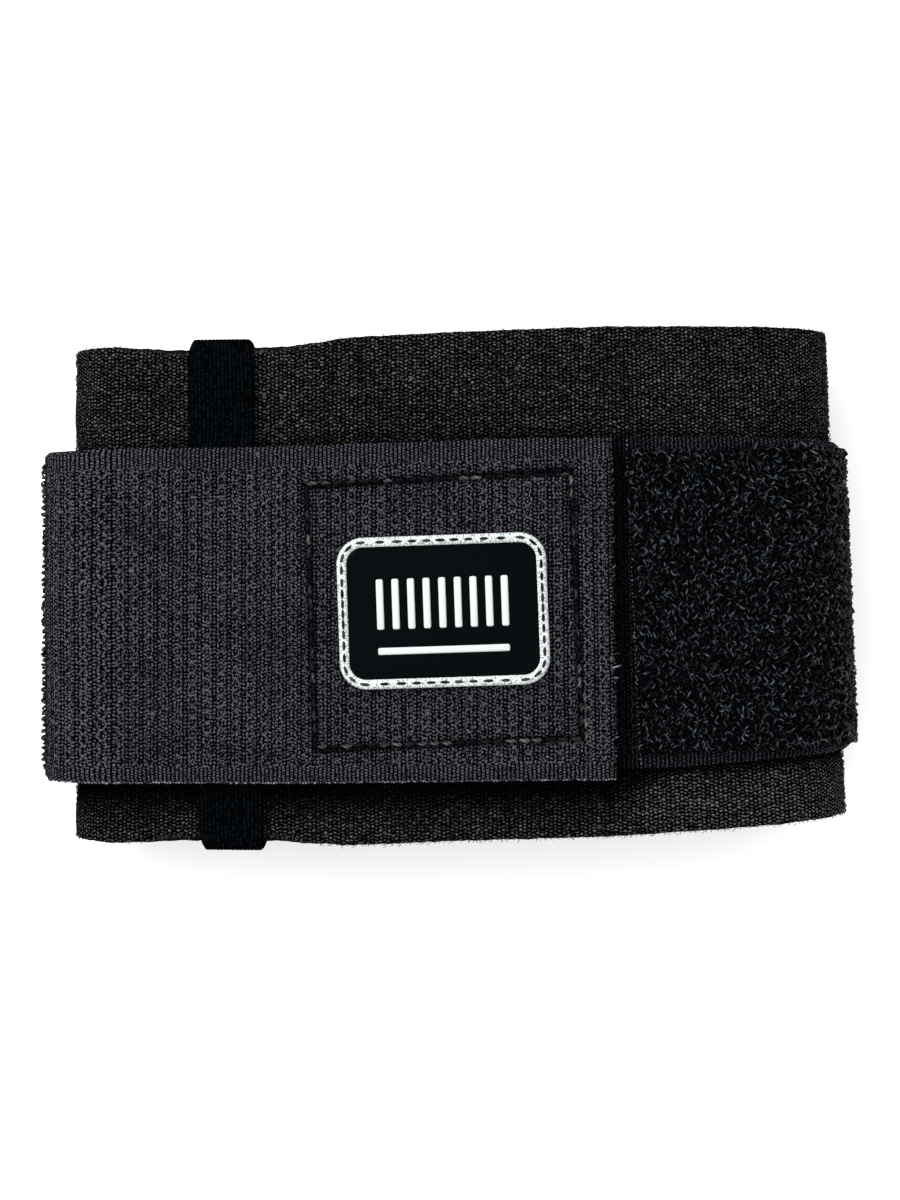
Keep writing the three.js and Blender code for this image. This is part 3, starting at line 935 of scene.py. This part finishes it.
# %% The pile's curls
pile_loop = curl(3, 6, 0.1, 0.38, 220)
panel_length = pile_end - lap_end - 4
ROW_STEP = 0.86
LOOP_STEP = 0.54
ROW_LENGTH = 56
fronts, folds = [], []
rows = int(panel_length / ROW_STEP)
for i in range(rows):
    along = (i + 0.5) / rows
    count = int(ROW_LENGTH / LOOP_STEP)
    for j in range(count):
        across = (j + uniform(0.1, 0.9)) / count - 0.5
        run, y, lift = pile_spot(along, across)
        run += uniform(-0.5, 0.5)
        side = 1 if (j // 2) % 2 else -1
        heading = side * math.radians(gauss(50, 18))
        lean = math.radians(gauss(0, 38))
        size = uniform(0.85, 1.3)
        scale = (size * uniform(0.8, 1.5), size, size * uniform(1.2, 2.0))
        # A painted glint: most curls stay black, and a few are painted pale.
        tint = chance() ** 3
        place = (run, y, lift + PILE_GROUND * 0.8 + uniform(0, 0.35), heading, lean, scale, tint)
        (fronts if run < front_run else folds).append(place)
scatter("loop_pile_front", pile_loop, fronts, pile_curl, "loop_pile")
scatter("loop_pile_fold", pile_loop, folds, pile_curl, "loop_pile")

# %% [markdown]
# Pale specks of cut yarn run down the panel's end, beside the strap's free end.

# %% The pile's cut edge
SPECKS = 75
specks = []
for i in range(SPECKS):
    across = (i + 0.5) / SPECKS - 0.5
    run, _, lift = pile_spot(0, across)
    low, high, _ = strap_at(run)
    y = (low + high) / 2 + across * (high - low - 1)
    size = uniform(0.2, 0.42)
    where = run - 0.1 + uniform(-0.12, 0.12)
    specks.append((where, y, lift + 0.2, 0, 0, (size, size * 1.2, size), uniform(0.1, 0.8)))
scatter("pile_edge_specks", thread_bead(5, 4), specks, strap_fibre, "loop_pile")

# %% [markdown]
# ## The sewn square
# A heavy black thread holds the hook patch to the lap. Each stitch is a rounded grain that sinks into the cloth
# at both ends. The sewing ends with a second run over the first near one corner, as it does on the real one.

# %% Stitches
STITCH_LENGTH = 1.95
STITCH_GAP = 0.42


def twisted_thread(strands, steps):
    """A stitch of unit length along x: a few strands that turn half way round each other, thinner at the ends."""
    bm = bmesh.new()
    screw = {"cent": (0, 0, 0), "axis": (1, 0, 0), "dvec": (1 / steps, 0, 0), "angle": math.pi * 1.5, "steps": steps}
    for i in range(strands):
        ring = bmesh.ops.create_circle(bm, segments=6, radius=0.27, cap_ends=False)["verts"]
        turn(bm, math.pi / 2, "Y", ring)
        bmesh.ops.translate(bm, vec=(-0.5, 0.22, 0), verts=ring)
        turn(bm, 2 * math.pi * i / strands, "X", ring)
        edges = list({e for v in ring for e in v.link_edges})
        bmesh.ops.spin(bm, geom=ring + edges, use_duplicate=False, **screw)
    bmesh.ops.holes_fill(bm, edges=bm.edges[:], sides=6)
    bmesh.ops.recalc_face_normals(bm, faces=bm.faces[:])
    for v in bm.verts:
        ends = math.sqrt(max(0.12, 1 - (2 * v.co.x) ** 2))
        v.co.y *= ends
        v.co.z *= ends
    return template_of(bm)


grain = twisted_thread(2, 8)


def square_point(side, along):
    """A place on the sewn square: side 0 to 3, anticlockwise from the bottom, and a distance along it."""
    across, up = ((along, -STITCH_HALF), (STITCH_HALF, along), (-along, STITCH_HALF), (-STITCH_HALF, -along))[side]
    return on_patch_place(across, up)


def stitch_places(side, start, end, aside, glint_rarity=4):
    """Stitches along a part of one side, moved aside. Bright stitches are painted glints, and the last value makes
    them rarer as it grows.
    """
    places = []
    count = round((end - start) / (STITCH_LENGTH + STITCH_GAP))
    for i in range(count):
        along = start + (i + 0.5) * (end - start) / count + uniform(-0.12, 0.12)
        run, y = square_point(side, along)
        heading = side * math.pi / 2 + HOOK_TURN + gauss(0, 0.07)
        run += math.sin(heading) * aside
        y -= math.cos(heading) * aside
        size = (STITCH_LENGTH * uniform(0.92, 1.1), uniform(0.85, 1.05), 0.8)
        lean, tint = uniform(-1, 1), chance() ** glint_rarity
        places.append((girth + run, y, on_lap - 0.3, heading, lean, size, tint))
    return places


sewn = []
for side in range(4):
    sewn += stitch_places(side, -STITCH_HALF, STITCH_HALF, 0)
sewn += stitch_places(1, -STITCH_HALF - 0.6, -STITCH_HALF + 9, 0.75, 1)
sewn += stitch_places(0, STITCH_HALF - 7, STITCH_HALF + 0.4, 0.7, 1.5)
scatter("patch_stitches", grain, sewn, black_thread, "strap")
print(len(sewn), "stitches")

# %% [markdown]
# ## Cut edges and loose ends
# Cut knit and elastic never end cleanly. Short ends of yarn stand out all along the sleeve's two edges and the
# strap's free end.

# %% Fibres at the cut edges
fibre = curl(3, 3, 0.05, 0.55, 75)
edge_ends = []
for edge in (0, 1):
    run = 0.0
    while run < girth:
        run += uniform(0.12, 0.34)
        low, high, pinch = sleeve_edges(run)
        out = 1 if edge else -1
        y = (high - pinch if edge else low + pinch) + out * uniform(-0.25, 0.2)
        size = uniform(0.5, 1.15)
        heading = out * math.pi / 2 + gauss(0, 0.6)
        lean = gauss(0, 0.9)
        depth = -uniform(0, 0.7)
        edge_ends.append((run, y, depth, heading, lean, even(size), chance() ** 1.5))
scatter("sleeve_edge_fibres", fibre, edge_ends, dark_fibre, "sleeve")

END_FIBRES = 420
end_fibres = []
low, high, lift = strap_at(strap_end)
for i in range(END_FIBRES):
    y = low + (high - low) * chance()
    size = uniform(0.4, 1.0)
    spot = lift + uniform(0.1, STRAP_THICKNESS)
    run = strap_end + uniform(-0.2, 0.15)
    end_fibres.append((run, y, spot, gauss(0, 0.7), gauss(0, 1), even(size), chance() ** 1.5))
scatter("strap_end_fibres", fibre, end_fibres, strap_fibre, "strap")

# %% [markdown]
# A pale line of turned yarn runs along the lap's near selvedge, and a few longer threads hang from its end.

# %% The selvedge's yarn and the stray threads
selvedge_yarn = []
run = girth - left_run * 0.7
while run < strap_end:
    low, high, lift = strap_at(run)
    size = uniform(0.3, 0.55)
    y = low + uniform(-0.05, 0.12)
    place = (run, y, lift + STRAP_THICKNESS * 0.55, gauss(0, 0.5), 0, (size * 1.3, size, size), chance() ** 1.2)
    selvedge_yarn.append(place)
    run += 0.55
scatter("strap_selvedge_yarn", thread_bead(5, 4), selvedge_yarn, strap_fibre, "strap")

low, high, lift = strap_at(strap_end)
strays = []
for share, size in ((0.33, 2.2), (0.36, 1.7), (0.3, 1.3), (0.62, 1.1), (0.8, 1.5), (0.12, 1.2)):
    y = low + (high - low) * share
    heading, lean = gauss(0.2, 0.5), gauss(0, 1)
    strays.append((strap_end + 0.3, y, lift + STRAP_THICKNESS * 0.8, heading, lean, (size, size, size * 0.6), 0.9))
low, high, lift = strap_at(front_run + 9)
strays.append((front_run + 8, high - 1.6, lift + 2.2, 2.4, 0.8, (2.4, 2, 1), 0.9))
strays.append((front_run + 10, high - 2.4, lift + 2.6, 2.8, -0.6, (2, 2, 1), 0.8))
scatter("stray_threads", curl(4, 6, 0.07, 0.55, 110), strays, strap_fibre, "strap")

# %% [markdown]
# Where the cloth turns sharply round a fold, its yarn stands out from the silhouette: the elastic's loops as
# teeth at the left-hand fold, and the sleeve's knit as small loops at both.

# %% Teeth and loops at the folds
tooth = curl(3, 5, 0.17, 0.5, 200)
FOLD_TEETH = [math.radians(a) for a in (180, 174, 168, 162)]  # angles round the left fold, about its silhouette


def left_fold_run(angle):
    return girth - LEFT_FOLD * (angle - left_touch)


teeth = []
for angle in FOLD_TEETH:
    run = left_fold_run(angle)
    low, high, lift = strap_at(run)
    count = round((high - low - 4) / 1.15)
    for j in range(count):
        y = low + 2 + (j + 0.5 + uniform(-0.15, 0.15)) * (high - low - 4) / count
        size = uniform(0.9, 1.5)
        spot = lift + STRAP_THICKNESS - 0.1 + uniform(-0.2, 0.15)
        heading = gauss(0.3, 0.45)
        tint = 0.3 * chance() ** 2
        teeth.append((run, y, spot, heading, gauss(0, 0.3), even(size), tint))
scatter("strap_fold_loops", tooth, teeth, strap_fibre, "strap")

knit_loop = curl(3, 4, 0.09, 0.42, 200)
knit_ends = []
left_runs = [left_fold_run(math.radians(angle)) for angle in (186, 180, 175, 170, 165, 160)]
right_runs = [front_run + RIGHT_FOLD * (right_touch - math.radians(angle)) for angle in (-2, 3, 8, 13, 18)]
for run in left_runs + right_runs:
    low, high, _ = sleeve_edges(run)
    for j in range(int((high - low) / 0.8)):
        y = low + (j + 0.5 + uniform(-0.3, 0.3)) * 0.8
        size = uniform(0.7, 1.35)
        heading, lean = gauss(0.5, 0.6), gauss(0, 0.4)
        knit_ends.append((run, y, 0, heading, lean, even(size), chance() ** 3))
scatter("sleeve_fold_fibres", knit_loop, knit_ends, dark_fibre, "sleeve")

# %% [markdown]
# ## The badge
# A small moulded label sits in the middle of the sewn square. It is a plain one: a black plate with upright grip
# bars and a silver rim that is sewn round with dark stitches. Both start as slabs whose square outline is pushed
# out to a rectangle with round corners, so they bend with the strap and stay closed.

# %% The badge's outline
BADGE_WIDTH = 39
BADGE_HEIGHT = 28.5
BADGE_CORNER = 5
RIM_WIDTH = 1.9
PLATE_SHARE = 0.93  # the plate ends under the rim


def outline_reach(across, up):
    """How far the rounded outline lies from the middle in a direction."""
    near, far = 0.0, 40.0
    for _ in range(24):
        middle = (near + far) / 2
        dx = max(abs(across * middle) - BADGE_WIDTH / 2 + BADGE_CORNER, 0)
        dy = max(abs(up * middle) - BADGE_HEIGHT / 2 + BADGE_CORNER, 0)
        if math.hypot(dx, dy) > BADGE_CORNER:
            far = middle
        else:
            near = middle
    return near


def on_badge(across, up, lift):
    run, y = on_patch_place(across, up)
    return girth + run, y, on_lap + lift


def outline_point(x, y):
    """The point of the outline that lies in the direction of a place on a square."""
    direction = Vector((x * BADGE_WIDTH, y * BADGE_HEIGHT)).normalized()
    return direction * outline_reach(direction.x, direction.y)


# %% The badge's plate and rim
def plate_place(x, y, z):
    spot = outline_point(x, y) * PLATE_SHARE * 2 * max(abs(x), abs(y), 1e-6)
    return (*on_badge(*spot, 0.1 + 0.9 * z), (spot.x, spot.y))


ply("badge_plate_black", PLATE_GRID, plate_place, badge_black, "badge_plate")

RIM_STEPS = RIM_GRID[0]
rim_angles = [2 * math.pi * i / RIM_STEPS for i in range(RIM_STEPS)]
rim_points = [outline_point(math.cos(angle), math.sin(angle)) for angle in rim_angles]


def rim_place(x, y, z):
    step = (x + 0.5) * RIM_STEPS
    a, b = rim_points[int(step) % RIM_STEPS], rim_points[(int(step) + 1) % RIM_STEPS]
    edge = a.lerp(b, step - int(step))
    inward = (y + 0.5) * RIM_WIDTH
    ahead = (b - a).normalized()
    spot = edge + Vector((-ahead.y, ahead.x)) * inward
    crown = math.sin(math.pi * (y + 0.5)) ** 0.5 if 0 < y + 0.5 < 1 else 0
    return (*on_badge(*spot, 0.1 + z * (0.75 + 0.65 * crown)), (edge.x + spot.x, edge.y + spot.y))


bm = ring_slab(*RIM_GRID)
wind_ring(bm, rim_place)
finish_piece("badge_rim_silver", bm, badge_silver, "badge_frame")

# %% The rim's stitches and the grip bars
rim_sewn = []
for i in range(0, RIM_STEPS, 5):
    spot = rim_points[i]
    ahead = (rim_points[(i + 1) % RIM_STEPS] - rim_points[i - 1]).normalized()
    inside = spot + Vector((-ahead.y, ahead.x)) * RIM_WIDTH * 0.5
    run, y, lift = on_badge(*inside, 1.5)
    heading = math.atan2(ahead.y, ahead.x) + HOOK_TURN
    size = (1.75 * uniform(0.9, 1.1), 0.6, 0.4)
    rim_sewn.append((run, y, lift, heading, 0, size, chance() * 0.3))
scatter("badge_stitches", thread_bead(6, 6), rim_sewn, black_thread, "badge_frame")


def bar(length):
    """A grip bar with softened edges, along x."""
    bm = bmesh.new()
    bmesh.ops.create_cube(bm, size=1, matrix=Matrix.Diagonal((length, 1.35, 0.8, 1)))
    softened = {"offset": 0.36, "segments": 3, "profile": 0.5, "affect": "EDGES", "clamp_overlap": True}
    bmesh.ops.bevel(bm, geom=bm.edges[:], material=-1, **softened)
    bmesh.ops.recalc_face_normals(bm, faces=bm.faces[:])
    return template_of(bm)


BAR_STEP = 2.9
upright = math.pi / 2 + HOOK_TURN
bars = [(*on_badge(i * BAR_STEP, 1.6, 1.0), upright, 0, even(1), 0) for i in range(-4, 5)]
scatter("badge_grip_bars", bar(9.5), bars, badge_silver, "badge_frame")
foot = (*on_badge(0, -7.2, 1.0), HOOK_TURN, 0, even(1), 0)
scatter("badge_foot_bar", bar(24.5), [foot], badge_silver, "badge_frame")

# %% [markdown]
# ## Two ply lengths
# The keeper's length and the pile panel's length are printed.


print("cloth pieces declared: 5; keeper", round(keeper_length, 1), "mm, pile panel", round(panel_length, 1), "mm")

# %% [markdown]
# ## Floor, light and camera
# The support lies on a white sheet and is seen from straight above, from just over half a metre. A white sky
# lights it evenly and leaves a narrow shadow on the floor. One soft lamp from the upper left shades the near edge
# of the strap and the step beside its free end, and painted shade in the knit and the elastic deepens both.

# %% Floor
floor_mesh = bpy.data.meshes.new("floor")
bm = bmesh.new()
bmesh.ops.create_grid(bm, x_segments=1, y_segments=1, size=2.5)
bm.to_mesh(floor_mesh)
bm.free()
floor = into_scene("floor", floor_mesh)
floor_paint, net = surface("floor_paint", 0.9, gloss=0.5)
place = net.node("ShaderNodeTexCoord").outputs["Object"]
net.paint(net.mix(net.noise(place, 8.0), rgb(0.9, 0.9, 0.895), rgb(0.92, 0.92, 0.915)))
floor_mesh.materials.append(floor_paint)

# %% Light
SKY_STRENGTH = 1.65
LAMP_PLACE = Vector((-0.75, 0.65, 0.8))
LAMP_SIZE = 0.5
LAMP_WATTS = 20

world = bpy.data.worlds.new("studio")
bpy.context.scene.world = world
world.use_nodes = True
sky = world.node_tree.nodes["Background"].inputs
sky["Color"].default_value = (1, 1, 1, 1)
sky["Strength"].default_value = SKY_STRENGTH

lamp = bpy.data.lights.new("key", "AREA")
lamp.shape = "DISK"
lamp.size = LAMP_SIZE
lamp.energy = LAMP_WATTS
key = into_scene("key", lamp)
key.location = LAMP_PLACE
key.rotation_euler = (-LAMP_PLACE).to_track_quat("-Z", "Y").to_euler()

# %% Camera
CAMERA_HEIGHT = 550 * MM
PIXEL = 0.1868 * MM  # one pixel of the 1200-pixel-high picture, at the height of the front face
lens = bpy.data.cameras.new("camera")
lens.sensor_fit = "VERTICAL"
lens.sensor_height = 36
lens.lens = CAMERA_HEIGHT / (1200 * PIXEL) * lens.sensor_height
camera = into_scene("camera", lens)
camera.location = (-0.5 * MM, -2 * MM, cad_box[1][2] + CAMERA_HEIGHT)
bpy.context.scene.camera = camera
bpy.context.scene.view_settings.view_transform = "Standard"
